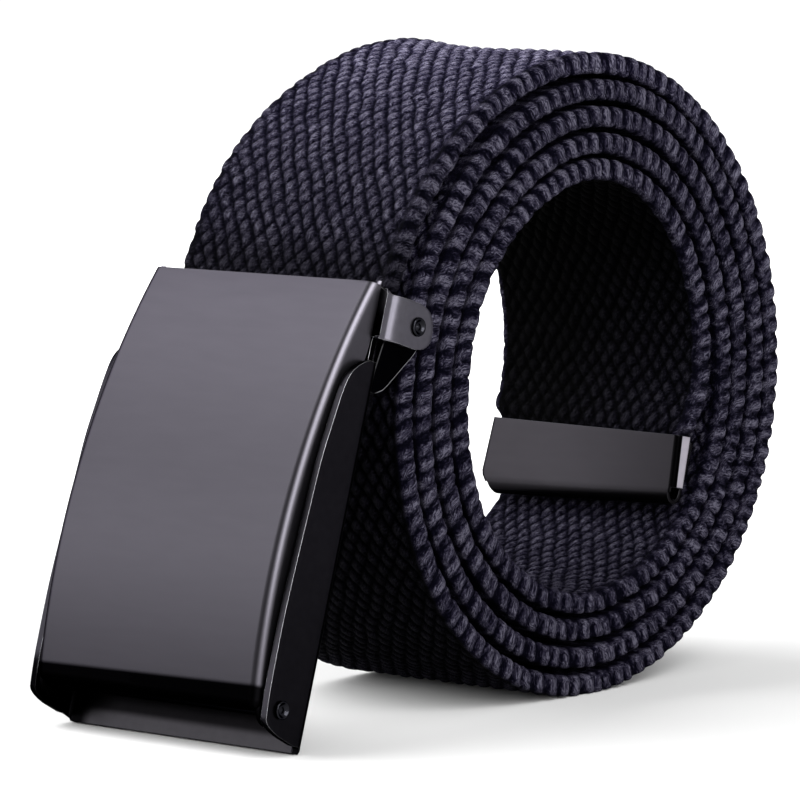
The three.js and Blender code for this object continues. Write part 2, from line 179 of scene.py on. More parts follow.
def webbing_material():
    m, nt, bsdf = new_material("webbing")
    lay = nt.nodes.new("ShaderNodeAttribute")
    lay.attribute_name = "lay"                       # along the belt, round its section, height of the yarn (mm, mm, 0-1)
    painted_light_attr = nt.nodes.new("ShaderNodeAttribute")
    painted_light_attr.attribute_name = "painted_light_shade"
    sep = nt.nodes.new("ShaderNodeSeparateXYZ")
    nt.links.new(lay.outputs["Vector"], sep.inputs[0])
    s, t, h = sep.outputs
    flat = nt.nodes.new("ShaderNodeCombineXYZ")
    nt.links.new(s, flat.inputs[0])
    nt.links.new(t, flat.inputs[1])
    v = flat.outputs[0]
    wobble = noise(nt, v, 0.55, 2.0)
    # filaments run slantwise through each yarn: noise drawn out along them
    bend = maths(nt, "MULTIPLY_ADD", wobble, 1.6, -0.8)
    across = maths(nt, "ADD", maths(nt, "ADD", maths(nt, "MULTIPLY", s, 0.62), maths(nt, "MULTIPLY", t, 0.79)), bend)
    along = maths(nt, "ADD", maths(nt, "MULTIPLY", s, -0.79), maths(nt, "MULTIPLY", t, 0.62))
    fv = nt.nodes.new("ShaderNodeCombineXYZ")
    nt.links.new(maths(nt, "MULTIPLY", across, 6.2), fv.inputs[0])
    nt.links.new(maths(nt, "MULTIPLY", along, 1.5), fv.inputs[1])
    fil = noise(nt, fv.outputs[0], 1.0, 2.0, 0.55)
    fine = noise(nt, v, 6.5, 3.0, 0.7)
    patch = noise(nt, v, 0.16, 2.0)
    # painted shade: the colour darkens down in the furrows between the yarns, by the yarn's height; the filament,
    # patch and fine noise terms are the yarn's own grain
    tone = maths(nt, "MULTIPLY_ADD", h, 0.80, -0.10)
    tone = maths(nt, "ADD", tone, maths(nt, "MULTIPLY_ADD", fil, 2.10, -1.05))
    tone = maths(nt, "ADD", tone, maths(nt, "MULTIPLY_ADD", patch, 0.24, -0.12))
    tone = maths(nt, "ADD", tone, maths(nt, "MULTIPLY_ADD", fine, 1.50, -0.75))
    col = ramp(nt, tone, [(0.04, (0.0006, 0.0005, 0.0018)), (0.32, (0.0034, 0.0029, 0.0068)),
                          (0.60, (0.0148, 0.0134, 0.0222)), (0.96, (0.056, 0.053, 0.072))])
    # painted light and shade: the colour is scaled per point, darker inside the roll and under the buckle, lighter on
    # the roll's top
    mix = nt.nodes.new("ShaderNodeVectorMath")
    mix.operation = "SCALE"
    nt.links.new(col, mix.inputs[0])
    nt.links.new(painted_light_attr.outputs["Fac"], mix.inputs["Scale"])
    nt.links.new(mix.outputs[0], bsdf.inputs["Base Color"])
    bsdf.inputs["Roughness"].default_value = 0.75
    bsdf.inputs["Specular IOR Level"].default_value = 0.008
    b = nt.nodes.new("ShaderNodeBump")
    b.inputs["Strength"].default_value = 1.0
    b.inputs["Distance"].default_value = 0.00022
    nt.links.new(maths(nt, "ADD", fil, maths(nt, "MULTIPLY", fine, 0.7)), b.inputs["Height"])
    nt.links.new(b.outputs[0], bsdf.inputs["Normal"])
    return m


def metal_material(name, base, rough, painted_light_zones=(), scratch=0.05, grain=(1, 1, 1), spread=0.06, bump=0.25, scale=900.0, rim=0.12):
    """Black-plated steel. zones are (factor, limits) of painted light and shade: the colour is scaled by the factor
    where every limit (direction, start, end, in mm) is passed."""
    m, nt, bsdf = new_material(name)
    geo = nt.nodes.new("ShaderNodeTexCoord")
    mp = nt.nodes.new("ShaderNodeMapping")
    mp.inputs["Scale"].default_value = grain
    nt.links.new(geo.outputs["Object"], mp.inputs["Vector"])
    v = mp.outputs[0]
    fine = noise(nt, v, scale, 4.0, 0.6)
    broad = noise(nt, v, 45.0, 3.0, 0.55)
    tone = maths(nt, "ADD", maths(nt, "MULTIPLY", fine, 0.5), maths(nt, "MULTIPLY", broad, 0.5))
    lo_c = tuple(x * (1 - spread * 2) for x in base)
    hi_c = tuple(min(1, x * (1 + spread * 2)) for x in base)
    col = ramp(nt, tone, [(0.3, lo_c), (0.7, hi_c)])
    # painted light and shade: each zone scales the colour by its factor
    for factor, *limits in painted_light_zones:
        share = None
        for direction, start, end in limits:
            dot = nt.nodes.new("ShaderNodeVectorMath")
            dot.operation = "DOT_PRODUCT"
            nt.links.new(geo.outputs["Object"], dot.inputs[0])
            dot.inputs[1].default_value = direction
            mr = nt.nodes.new("ShaderNodeMapRange")
            mr.interpolation_type = "SMOOTHSTEP"
            flip = start > end
            mr.inputs["From Min"].default_value = min(start, end) / 1000
            mr.inputs["From Max"].default_value = max(start, end) / 1000
            mr.inputs["To Min"].default_value = 1.0 if flip else 0.0
            mr.inputs["To Max"].default_value = 0.0 if flip else 1.0
            nt.links.new(dot.outputs["Value"], mr.inputs["Value"])
            share = mr.outputs[0] if share is None else maths(nt, "MULTIPLY", share, mr.outputs[0])
        sc = nt.nodes.new("ShaderNodeVectorMath")
        sc.operation = "SCALE"
        nt.links.new(col, sc.inputs[0])
        nt.links.new(maths(nt, "MULTIPLY_ADD", share, factor - 1.0, 1.0), sc.inputs["Scale"])
        col = sc.outputs[0]
    nt.links.new(col, bsdf.inputs["Base Color"])
    r = maths(nt, "MULTIPLY_ADD", tone, scratch * 2, rough - scratch)
    nt.links.new(r, bsdf.inputs["Roughness"])
    bsdf.inputs["Metallic"].default_value = 1.0
    bsdf.inputs["Specular Tint"].default_value = (rim, rim, rim, 1)   # how much it brightens at a glancing angle
    b = nt.nodes.new("ShaderNodeBump")
    b.inputs["Strength"].default_value = bump
    b.inputs["Distance"].default_value = 0.00002
    nt.links.new(fine, b.inputs["Height"])
    nt.links.new(b.outputs[0], bsdf.inputs["Normal"])
    return m


def along_plate(u):
    """The value of the plate's down direction, dotted with a place u mm down it, in frame millimetres."""
    return float(np.dot(D, [OX + SX, OZ + SZ])) + u


def out_of_plate(v, mix=0.0):
    """The same for the plate's outward direction, mixed with a share of the downward one."""
    return float(np.dot(N + mix * D, [OX + SX, OZ + SZ])) + v


DOWN = (float(D[0]), 0.0, float(D[1]))
M_WEB = webbing_material()
NEAR, FAR = (0, -1, 0), (0, 1, 0)
LIP = (DOWN[0], -0.0175, DOWN[2])
RIM = (float(N[0] - 0.4 * D[0]), 0.0, float(N[1] - 0.4 * D[1]))
TIP_BACK = (0.983, 0.0, -0.184)
TIP_FACE = 0.983 * (21.6 + SX) - 0.184 * (-10.2 + SZ)
# painted highlights: bevelled edges get a lighter metal so they show as thin bright lines; zones darken them again as
# painted shade, and the jaw's edge stays bright only along its back rim
M_EDGE_HIGHLIGHT = metal_material("edge_highlight_metal", (0.30, 0.30, 0.32), 0.28, (), 0.05, (1, 1, 1), 0.10, 0.1)
M_EDGE_DARK = metal_material("cover_edge_highlight", (0.085, 0.085, 0.092), 0.30, [(0.02, (DOWN, along_plate(54), along_plate(56)))],
                             0.05, (1, 1, 1), 0.10, 0.1)
M_EDGE_FRAME = metal_material("frame_edge", (0.30, 0.30, 0.32), 0.28,
                              [(0.05, (FAR, 10.0, 12.0), (DOWN, along_plate(58), along_plate(61))), (0.3, (DOWN, along_plate(62), along_plate(64)))],
                              0.05, (1, 1, 1), 0.10, 0.1)
M_EDGE_TIP = metal_material("tip_edge", (0.016, 0.016, 0.018), 0.30, (), 0.05, (1, 1, 1), 0.10, 0.1)
M_EDGE_JAW = metal_material("jaw_edge", (0.30, 0.30, 0.32), 0.28, [(0.04, (RIM, out_of_plate(-8.7, -0.4), out_of_plate(-7.7, -0.4)))],
                            0.05, (1, 1, 1), 0.10, 0.1)
# painted shade: the cover darkens towards its lower end and is near black on the rolled lip; painted highlight along
# the side bends, toned down on the flanges
M_COVER = metal_material("cover_metal", (0.0270, 0.0256, 0.0300), 0.38,
                         [(0.68, (DOWN, along_plate(0), along_plate(30))), (0.80, (DOWN, along_plate(38), along_plate(56))),
                          (0.03, (LIP, along_plate(58.05), along_plate(58.75))),
                          (3.2, (NEAR, 19.75, 20.1)), (0.5, (NEAR, 20.38, 20.5)), (3.2, (FAR, 19.75, 20.1)), (0.5, (FAR, 20.38, 20.5))],
                         0.04, (1, 0.15, 1), 0.04, 0.12)
# painted light on the ears; painted shade on the far wall's lower end and in the step between the plate and the ears
M_FRAME = metal_material("frame_metal", (0.0090, 0.0086, 0.0102), 0.31,
                         [(6.0, (DOWN, along_plate(9.5), along_plate(8.6))), (0.1, (FAR, 15.0, 18.0), (DOWN, along_plate(57), along_plate(59))),
                          (0.12, (DOWN, along_plate(9.5), along_plate(8.6)), (DOWN, along_plate(3.2), along_plate(6.5)), (NEAR, 20.55, 20.35), (FAR, 20.55, 20.35))],
                         0.04, (1, 1, 1), 0.08, 0.15)
# painted shade: the plate is dark except near its lower edge, and darker at its far lower corner; painted light on its
# near top corner
M_PLATE = metal_material("frame_plate", (0.0090, 0.0086, 0.0096), 0.34, [(0.2, (DOWN, along_plate(64.2), along_plate(63.0))), (10.0, (NEAR, 19.0, 19.6), (DOWN, along_plate(5.0), along_plate(3.0))),
                          (0.1, (FAR, 16.5, 19.0), (DOWN, along_plate(58), along_plate(60)))],
                         0.04, (1, 1, 1), 0.08, 0.15)
# painted highlight: a bright strip on the near side lip; painted shade in the thin strip beside it; the tip is a
# little darker towards its near edge
M_TIP = metal_material("tip_metal", (0.0116, 0.0109, 0.0124), 0.36,
                       [(34.0, (NEAR, 18.8, 19.1), (TIP_BACK, TIP_FACE + 0.95, TIP_FACE + 1.15)),
                        (0.06, (NEAR, 18.6, 18.9), (TIP_BACK, TIP_FACE + 1.05, TIP_FACE + 0.95)),
                        (0.75, (NEAR, -8, 16))], 0.04, (1, 0.2, 1), 0.05, 0.12)
M_PIN = metal_material("pin_metal", (0.012, 0.012, 0.0145), 0.16, (), 0.03, (1, 1, 1), 0.08, 0.1)
M_JAW = metal_material("jaw_metal", (0.0022, 0.0022, 0.0028), 0.28, (), 0.04, (1, 1, 1), 0.08, 0.1)


def finish_piece(ob, material, body, slot, *nodes_replaced):
    """material is one material, or several in the order of the mesh's material numbers."""
    several = material if isinstance(material, tuple) else (material,)
    for k, each in enumerate(several):
        if k < len(ob.data.materials):
            ob.data.materials[k] = each
        else:
            ob.data.materials.append(each)
    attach(ob, body)
    if nodes_replaced:
        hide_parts(*nodes_replaced)
    return ob


# ------------------------------------------------------------------ camera (the photograph's view)
AZ, EL, DIST = math.radians(-49.8), math.radians(5.96), 750.0
back = np.array([math.sin(AZ) * math.cos(EL), -math.cos(AZ) * math.cos(EL), math.sin(EL)])
right = np.cross(-back, [0, 0, 1.0]); right /= np.linalg.norm(right)
up = np.cross(right, -back)
cam_data = bpy.data.cameras.new("camera")
cam_data.sensor_width = 36.0
cam_data.lens = 5225.0 * 36.0 / 800.0
cam_data.clip_start, cam_data.clip_end = 0.05, 20.0
cam = bpy.data.objects.new("camera", cam_data)
scene.collection.objects.link(cam)
place = put([np.array([-19.1, 0, -3.06]) + back * DIST])[0]
cam.matrix_world = Matrix(((right[0], up[0], back[0], place[0]), (right[1], up[1], back[1], place[1]),
                           (right[2], up[2], back[2], place[2]), (0, 0, 0, 1)))
scene.camera = cam

# ------------------------------------------------------------------ webbing
WEB_NEAR, WEB_FAR = -19.2, 18.8
ROLL = [
    (150, 45.6, 39.7, 35.6, 31.8, 28.0), (120, 44.9, 40.1, 35.9, 32.0, 28.3), (90, 45.1, 41.2, 37.35, 33.5, 29.75),
    (60, 45.3, 41.8, 37.9, 33.95, 30.1), (30, 45.1, 41.3, 37.35, 33.4, 29.0), (0, 45.0, 41.2, 37.05, 33.1, 28.0),
    (-30, 45.3, 41.5, 37.5, 33.8, None), (-60, 45.2, 41.15, 37.15, 33.3, None), (-90, 44.7, 40.75, 36.7, 32.8, None),
    (-120, 43.9, 39.75, 35.5, 31.6, None), (-150, 42.1, 38.1, 33.9, 29.9, None), (-180, 40.3, 36.2, 32.1, 28.1, None),
]
PUSH = [0.8, 1.4, 2.1, 2.6, 0.0]
PUSH_AT, PUSH_SPAN = -38.0, 50.0
INNER_FLARE = 0.9
LEAD = [(19.5, -1.9), (15, -1.9), (11, -1.91), (7.5, -1.98), (4, -2.2), (0.5, -2.6), (-3, -3.12)]
TAIL = [(27.75, -2.6, 28.65, -2.6), (26.9, -5.2, 28.15, -5.2), (25.6, -7.6, 27.5, -7.5)]
TIP_NEAR = dict(y=-19.3, top=(21.6, -10.2), bottom=(19.8, -19.7))
TIP_FAR = dict(y=18.4, top=(24.4, -10.3), bottom=(22.4, -21.2))
TONGUE = [(-1.3, 2.5, 1.0, 0.0), (-0.3, 2.47, 0.93, 0.95), (1.2, 2.4, 0.87, 1.0), (4.0, 2.1, 0.70, 1.0), (7.0, 1.78, 0.50, 1.0)]


def tip_frame(side):
    t, b = np.array(side["top"]), np.array(side["bottom"])
    length = float(np.hypot(*(b - t)))
    p = (b - t) / length
    q = np.array([-p[1], p[0]])
    return length, (lambda a, c: t + a * p + c * q)


tn_len, tn = tip_frame(TIP_NEAR)
tf_len, tf = tip_frame(TIP_FAR)

order = []
for turn in range(1, 6):
    for row in ROLL:
        if row[turn] is not None:
            order.append((360 * (turn - 1) - row[0], row[turn]))
order = np.array(order, float)


def natural(xs, ys):
    n = len(xs)
    a, r, h = np.zeros((n, n)), np.zeros(n), np.diff(xs)
    a[0, 0] = a[-1, -1] = 1
    for i in range(1, n - 1):
        a[i, i - 1], a[i, i], a[i, i + 1] = h[i - 1], 2 * (h[i - 1] + h[i]), h[i]
        r[i] = 6 * ((ys[i + 1] - ys[i]) / h[i] - (ys[i] - ys[i - 1]) / h[i - 1])
    m = np.linalg.solve(a, r)

    def value(x):
        k = int(np.clip(np.searchsorted(xs, x) - 1, 0, n - 2))
        hh, p, q = h[k], xs[k + 1] - x, x - xs[k]
        return (m[k] * p ** 3 + m[k + 1] * q ** 3) / (6 * hh) + (ys[k] / hh - m[k] * hh / 6) * p + (ys[k + 1] / hh - m[k + 1] * hh / 6) * q
    return value


radius = natural(order[:, 0], order[:, 1])


def pushed(w):
    t = math.floor((w + 180) / 360)
    x = abs(-(w - 360 * t) - PUSH_AT) / PUSH_SPAN
    bump = math.cos(x * math.pi / 2) ** 2 if x < 1 else 0.0
    inner = INNER_FLARE * min(1, max(0, (w - 1330) / 60)) if t >= 4 else 0.0
    return PUSH[min(t, 4)] * bump + inner


FULL = 1.0                                            # 1 where the webbing has its full thickness
stations, winding = [], []
for u, v in LEAD:
    p = at(u, v, 0)
    stations.append((p[0], p[2], p[0], p[2], 0.0, FULL)); winding.append(-165.0 - u)
w = -150.0
while w <= 1440.001:
    a = math.radians(-w)
    r, f = radius(w), radius(w) + pushed(w)
    stations.append((r * math.cos(a), r * math.sin(a), f * math.cos(a), f * math.sin(a), 0.0, FULL)); winding.append(w)
    w += 6.0
for k, row in enumerate(TAIL):
    stations.append((*row, 0.0, FULL)); winding.append(1446.0 + 6 * k)
for k, (p, q, thick, inset) in enumerate(TONGUE):
    a, b = tn(p, q), tf(p, q)
    stations.append((a[0], a[1], b[0], b[1], inset, thick)); winding.append(1464.0 + 6 * k)
belt_at, belt_s = curve_through(stations)
winding = np.array(winding)
BELT_LENGTH = float(belt_s[-1])


def s_of(w_value):
    return float(np.interp(w_value, winding, belt_s))


ROW, COLUMN = 1.75, 2.5                               # yarn spacing along and across the belt
HALF = 1.12                                           # half thickness down in the grooves
RISE = 0.52                                           # height of the yarns on the faces
EDGE = 1.05                                           # how far the rounded edge reaches in
LOOP = 2.6                                            # edge loops' spacing


def hashed(a, b, k):
    x = np.sin(a * 127.1 + b * 311.7 + k * 74.7) * 43758.5453
    return x - np.floor(x)


def face_height(s, y, outer):
    """Pillow-shaped yarn crowns filling a brick lattice, with narrow deep furrows between them."""
    s = s + 0.13 * np.sin(y * 0.9 + s * 0.13) + 0.12 * np.sin(y * 0.31 - s * 0.41) + 0.07 * np.sin(y * 2.1 + s * 1.7)
    y = y + 0.13 * np.sin(s * 0.75 + 1.3) + 0.10 * np.sin(s * 0.23 + y * 0.5) + 0.07 * np.sin(s * 2.3 - y * 1.9)
    row = ROW if outer else ROW * 1.05
    a = (s / row + y / (COLUMN / 2)) / 2
    b = (s / row - y / (COLUMN / 2)) / 2
    ia, ib = np.floor(a), np.floor(b)
    fa, fb = 2 * (a - ia) - 1, 2 * (b - ib) - 1
    # each crown has its own size, height and lean
    fa = fa + 0.16 * (hashed(ia, ib, 1) - 0.5) + 0.12 * fb * (hashed(ia, ib, 3) - 0.2)
    fb = fb + 0.16 * (hashed(ia, ib, 2) - 0.5) - 0.10 * fa * (hashed(ia, ib, 4) - 0.2)
    p = 2.5 if outer else 2.2
    ka, kb = 1.04, 1.10
    ga = np.clip(1 - np.abs(fa * ka) ** p, 0, None)
    gb = np.clip(1 - np.abs(fb * kb) ** p, 0, None)
    swell = 0.86 + 0.24 * hashed(ia, ib, 5)
    return np.sqrt(ga * gb) * swell


def loop_height(s, a, half_len, seed, slant):
    """Slanting loops of weft round the edge; a runs from the outer face (-) to the inner face (+)."""
    best = np.zeros_like(s)
    sw = s + 0.35 * np.sin(s * 0.17 + seed) + 0.15 * np.sin(s * 0.9 + a + seed)
    k0 = np.floor(sw / LOOP)
    for dk in (-1, 0, 1):
        k = k0 + dk
        centre = (k + 0.5 + 0.30 * (hashed(k, seed, 1) - 0.5)) * LOOP
        tilt = slant + 0.45 * (hashed(k, seed, 2) - 0.5)
        shift = 1.3 * (hashed(k, seed, 5) - 0.5) - 0.30
        wide = LOOP * (0.35 + 0.06 * hashed(k, seed, 3))
        d = (sw - centre - tilt * (a - shift)) / wide
        lift = 0.84 + 0.3 * hashed(k, seed, 4)
        along = np.clip(1 - (np.abs(a - shift) / (half_len * 0.98)) ** 2.4, 0, None)
        best = np.maximum(best, np.sqrt(np.clip(1 - np.abs(d) ** 2.2, 0, None)) * lift * np.sqrt(along))
        # a shorter strand tucked between two loops, nearer one face
        off = 0.9 + 0.5 * (hashed(k, seed, 6) - 0.5)
        d2 = (sw - centre - LOOP / 2 + 0.35 * (a - off)) / (LOOP * 0.27)
        e2 = (a - off) / (half_len * 0.62)
        best = np.maximum(best, 0.74 * np.sqrt(np.clip(1 - d2 ** 2 - e2 ** 2, 0, None)))
    return best


def square(x):
    """Fills out a round corner."""
    return math.copysign(abs(x) ** 0.55, x)


def section(n_outer, n_inner, n_edge):
    """Points round the belt's section: (y, out, ny, nout, T, side) going out face, far edge, inner face, near edge."""
    rows = []
    y0, y1 = WEB_NEAR + EDGE, WEB_FAR - EDGE
    for y in np.linspace(y0, y1, n_outer, endpoint=False):
        rows.append((y, HALF, 0, 1, y, 0))
    quarter = EDGE * 0.5 + HALF * 0.5
    arc = math.pi * quarter
    for k in range(n_edge):
        f = math.pi / 2 - math.pi * k / n_edge
        c, s = square(math.cos(f)), square(math.sin(f))
        rows.append((y1 + (EDGE - 0.25) * c, HALF * s, c, s, y1 + arc * k / n_edge, 1))
    for y in np.linspace(y1, y0, n_inner, endpoint=False):
        rows.append((y, -HALF, 0, -1, 2 * y1 + arc - y, 2))
    for k in range(n_edge):
        f = -math.pi / 2 - math.pi * k / n_edge
        c, s = square(math.cos(f)), square(math.sin(f))
        rows.append((y0 + (EDGE - 0.25) * c, HALF * s, c, s, 2 * y1 + arc - y0 + arc * k / n_edge, 3))
    return np.array(rows)


EDGE_ARC = math.pi * (EDGE * 0.5 + HALF * 0.5)


def web_piece(name, s0, s1, step, n_outer, n_inner, n_edge, cap_start=False, cap_end=False):
    sec = section(n_outer, n_inner, n_edge)
    rows = max(2, int(round((s1 - s0) / step)) + 1)
    s = np.linspace(s0, s1, rows)
    c = belt_at(s)
    d = (belt_at(np.clip(s + 0.05, 0, BELT_LENGTH)) - belt_at(np.clip(s - 0.05, 0, BELT_LENGTH)))
    tn_ = (d[:, 0:2] + d[:, 2:4]) / 2
    tn_ /= np.linalg.norm(tn_, axis=1, keepdims=True)
    out = np.stack([-tn_[:, 1], tn_[:, 0]], -1)
    S, Y = s[:, None] + 0 * sec[None, :, 0], sec[None, :, 0] + 0 * s[:, None]
    T = sec[None, :, 4] + 0 * s[:, None]
    side = sec[:, 5]
    # heights: faces, edges, and a soft change between them
    fo, fi = face_height(S, Y, True), face_height(S, Y, False)
    upper = sec[None, :, 1] >= 0
    hf = np.where(upper, fo, fi)
    near_a = (T - (2 * (WEB_FAR - EDGE) + EDGE_ARC - (WEB_NEAR + EDGE)) - EDGE_ARC / 2) * -1.0
    far_a = T - (WEB_FAR - EDGE) - EDGE_ARC / 2
    near_a = np.where(side[None, :] == 0, -(EDGE_ARC / 2 + (Y - (WEB_NEAR + EDGE))), np.where(side[None, :] == 2, EDGE_ARC / 2 + (Y - (WEB_NEAR + EDGE)), near_a))
    far_a = np.where(side[None, :] == 0, -(EDGE_ARC / 2 + ((WEB_FAR - EDGE) - Y)), np.where(side[None, :] == 2, EDGE_ARC / 2 + ((WEB_FAR - EDGE) - Y), far_a))
    is_near = Y < (WEB_NEAR + WEB_FAR) / 2
    a = np.where(is_near, near_a, far_a)
    he = np.where(is_near, loop_height(S, a, EDGE_ARC * 0.52, 3.0, 0.42), loop_height(S + 1.3, a, EDGE_ARC * 0.52, 8.0, 0.42))
    inset = np.minimum(Y - WEB_NEAR, WEB_FAR - Y)
    we = 1 - np.clip((inset - 0.7) / 1.2, 0, 1)
    we = we * we * (3 - 2 * we)
    h01 = (1 - we) * hf + we * he
    thick = c[:, 5][:, None]
    squeeze = np.clip((thick - 0.5) / 0.5, 0.25, 1)
    proud = np.where(is_near, 0.14 + 0.42 * he, 0.24 + 0.26 * he)
    out_y = ((1 - we) * hf * RISE + we * proud) * squeeze
    out_r = ((1 - we) * hf * RISE + we * (0.34 + 0.16 * he)) * squeeze
    narrow = c[:, 4][:, None] * np.clip(np.abs(Y - (WEB_NEAR + WEB_FAR) / 2) / 18.6, 0, 1) ** 2 * np.where(is_near, 1, -1)
    y = Y + narrow + sec[None, :, 2] * out_y
    o = sec[None, :, 1] * thick + sec[None, :, 3] * out_r
    # lie of the roll: the outer turn is a little full across its top and lifted at the far edge there
    f = np.clip((y - WEB_NEAR) / (WEB_FAR - WEB_NEAR), -0.1, 1.1)
    wv = np.interp(s, belt_s, winding)[:, None]
    lift = outer_lie(wv, f)
    n2, f2 = c[:, 0:2], c[:, 2:4]
    x = n2[:, 0][:, None] * (1 - f) + f2[:, 0][:, None] * f + out[:, 0][:, None] * (o + lift)
    z = n2[:, 1][:, None] * (1 - f) + f2[:, 1][:, None] * f + out[:, 1][:, None] * (o + lift)
    z = np.maximum(z, 0.02 - SZ)                      # the yarns flatten where the roll stands on them
    m = sec.shape[0]
    pts = np.stack([x, y, z], -1).reshape(-1, 3)
    idx = np.arange(rows * m).reshape(rows, m)
    nxt = np.roll(idx, -1, axis=1)
    quads = np.stack([idx[:-1], nxt[:-1], nxt[1:], idx[1:]], -1).reshape(-1, 4)
    me = bpy.data.meshes.new(name)
    nq = len(quads)
    caps = []
    if cap_start:
        caps.append(idx[0][::-1])
    if cap_end:
        caps.append(idx[-1])
    loops = np.concatenate([quads.ravel(), *caps]) if caps else quads.ravel()
    starts = list(np.arange(nq) * 4)
    totals = [4] * nq
    pos = nq * 4
    for cp in caps:
        starts.append(pos); totals.append(len(cp)); pos += len(cp)
    me.vertices.add(len(pts))
    me.vertices.foreach_set("co", put(pts).astype(np.float32).ravel())
    me.loops.add(len(loops))
    me.loops.foreach_set("vertex_index", loops.astype(np.int32))
    me.polygons.add(len(starts))
    me.polygons.foreach_set("loop_start", np.array(starts, np.int32))
    me.polygons.foreach_set("loop_total", np.array(totals, np.int32))
    me.update(calc_edges=True)
    me.validate()
    me.polygons.foreach_set("use_smooth", [True] * len(me.polygons))
    # painted light and shade per point, multiplied into the webbing's colour
    deep = me.attributes.new("painted_light_shade", "FLOAT", "POINT")
    deep.data.foreach_set("value", painted_light_and_shade(wv + 0 * S, side[None, :] + 0 * S, f + 0 * S).astype(np.float32).ravel())
    lay = me.attributes.new("lay", "FLOAT_VECTOR", "POINT")
    lay.data.foreach_set("vector", np.stack([S, T, h01], -1).astype(np.float32).ravel())
    ob = bpy.data.objects.new(name, me)
    scene.collection.objects.link(ob)
    return ob


def outer_lie(wv, f):
    """Small outward shift of the outer turn (mm) at winding wv and share f of the way to the far edge."""
    top = np.clip(1 - np.abs(wv + 88) / 62, 0, 1)
    top = top * top * (3 - 2 * top)
    hollow = 0.15 * top * np.clip(1 - (2 * f - 1.0) ** 2, 0, 1)
    rise = np.clip((wv + 112) / 34, 0, 1) * np.clip(1 - (wv + 60) / 50, 0, 1)
    flare = 1.7 * rise * np.clip((f - 0.55) / 0.45, 0, 1.2) ** 2
    side_flare = 0.7 * np.clip(1 - np.abs(wv + 138) / 45, 0, 1) * np.clip((f - 0.55) / 0.45, 0, 1.2) ** 2
    return np.where(wv < 200, hollow + flare + side_flare, 0.0)


def painted_light_and_shade(wv, side, f):
    """Painted light and shade for the webbing's colour: painted shade inside the roll and behind and under the buckle,
    painted light on the top of the outer turn.
    """
    tone = np.ones_like(wv)
    # painted shade inside the roll, darkest deep in and towards the far edge
    inner_painted_shade = np.interp(wv, [1100, 1210, 1290, 1335, 1365, 1398, 1418, 1440, 1500], [0.76, 0.68, 0.18, 0.01, 0.01, 0.03, 0.10, 0.22, 0.56])
    inner = (wv > 1100) & (side == 2)
    tone = np.where(inner, inner_painted_shade * (1 - 0.88 * np.clip(f * 1.5, 0, 1) * np.clip((wv - 1260) / 60, 0, 1)), tone)
    # on the outermost lap by the buckle: painted shade low down, painted light higher up
    left = np.interp(wv, [-175, -162, -150, -112, -88, -60, 0], [0.08, 0.27, 0.60, 1.22, 1.50, 1.3, 1.0])
    tone = np.where((wv < 0) & (side != 2), left, tone)
    # painted light on the outer face across the top of the roll
    crown = np.interp(wv, [-140, -115, -92, -55, -20], [1.08, 1.5, 2.2, 2.0, 1.0])
    tone = np.where((wv < 0) & (side == 0), tone * crown, tone)
    # painted shade at the lowest part of that face
    low = np.clip((-wv - 166) / 14, 0, 1) * np.ones_like(wv)
    tone = np.where((wv < 0) & (side == 0), tone * (1 - 0.8 * low), tone)
    # painted shade on the outer face of the lap under the buckle
    under = np.clip(1 - np.abs(wv - 145) / 62, 0, 1)
    tone = np.where((side == 0) & (wv > 60) & (wv < 230), tone * (1 - 0.88 * np.minimum(1, 1.8 * under)), tone)
    return tone


a0, a1, a2 = 0.0, s_of(-5.0), s_of(222.0)
b1, c0 = s_of(1066.0), BELT_LENGTH
webs = [
    web_piece("strap_turn_1a", a0, a1, 0.34, 108, 24, 15, cap_start=True),
    web_piece("strap_turn_1b", a1, a2, 0.34, 108, 24, 15),
    web_piece("strap_middle", a2, b1, 0.36, 14, 14, 15),
    web_piece("strap_turn_5", b1, c0, 0.36, 24, 104, 15, cap_end=True),
]
for k, ob in enumerate(webs):
    finish_piece(ob, M_WEB, "belt", "webbing", *(["strap"] if k == 0 else []))

# ------------------------------------------------------------------ sheet metal
def sheet_object(name, rows, thickness, bevel=0.14, segments=2, mask=None, angle=40, number=None, materials=3):
    """rows is a grid of (x, y, z) or None; each cell with four corners becomes a face, then gets thickness and soft edges."""
    index, pts, faces, numbers = {}, [], [], []
    for i, row in enumerate(rows):
        for j, p in enumerate(row):
            if p is not None:
                index[i, j] = len(pts)
                pts.append(p)
    for i in range(len(rows) - 1):
        for j in range(len(rows[i]) - 1):
            q = [(i, j), (i, j + 1), (i + 1, j + 1), (i + 1, j)]
            if all(k in index for k in q) and (mask is None or mask(i, j)):
                faces.append([index[k] for k in q])
                numbers.append(number(i, j) if number else 0)
    used = sorted({v for f in faces for v in f})
    remap = {v: n for n, v in enumerate(used)}
    ob = mesh_object(name, [pts[v] for v in used], [[remap[v] for v in f] for f in faces], smooth=True, angle=180)
    for k in range(materials):
        ob.data.materials.append(bpy.data.materials.new("later"))
    ob.data.polygons.foreach_set("material_index", numbers)
    so = ob.modifiers.new("thickness", "SOLIDIFY")
    so.thickness = thickness / 1000
    so.offset = 0
    so.use_even_offset = True
    be = ob.modifiers.new("edges", "BEVEL")
    be.width = bevel / 1000
    be.segments = segments
    be.limit_method = "ANGLE"
    be.angle_limit = math.radians(angle)
    be.material = 1                                   # the soft edges take a lighter metal: painted edge highlights
    wn = ob.modifiers.new("normals", "WEIGHTED_NORMAL")
    wn.keep_sharp = False
    return ob


def bake(ob):
    """Applies an object's modifiers."""
    bpy.context.view_layer.update()
    dg = bpy.context.evaluated_depsgraph_get()
    me = bpy.data.meshes.new_from_object(ob.evaluated_get(dg))
    ob.modifiers.clear()
    ob.data = me
    return ob


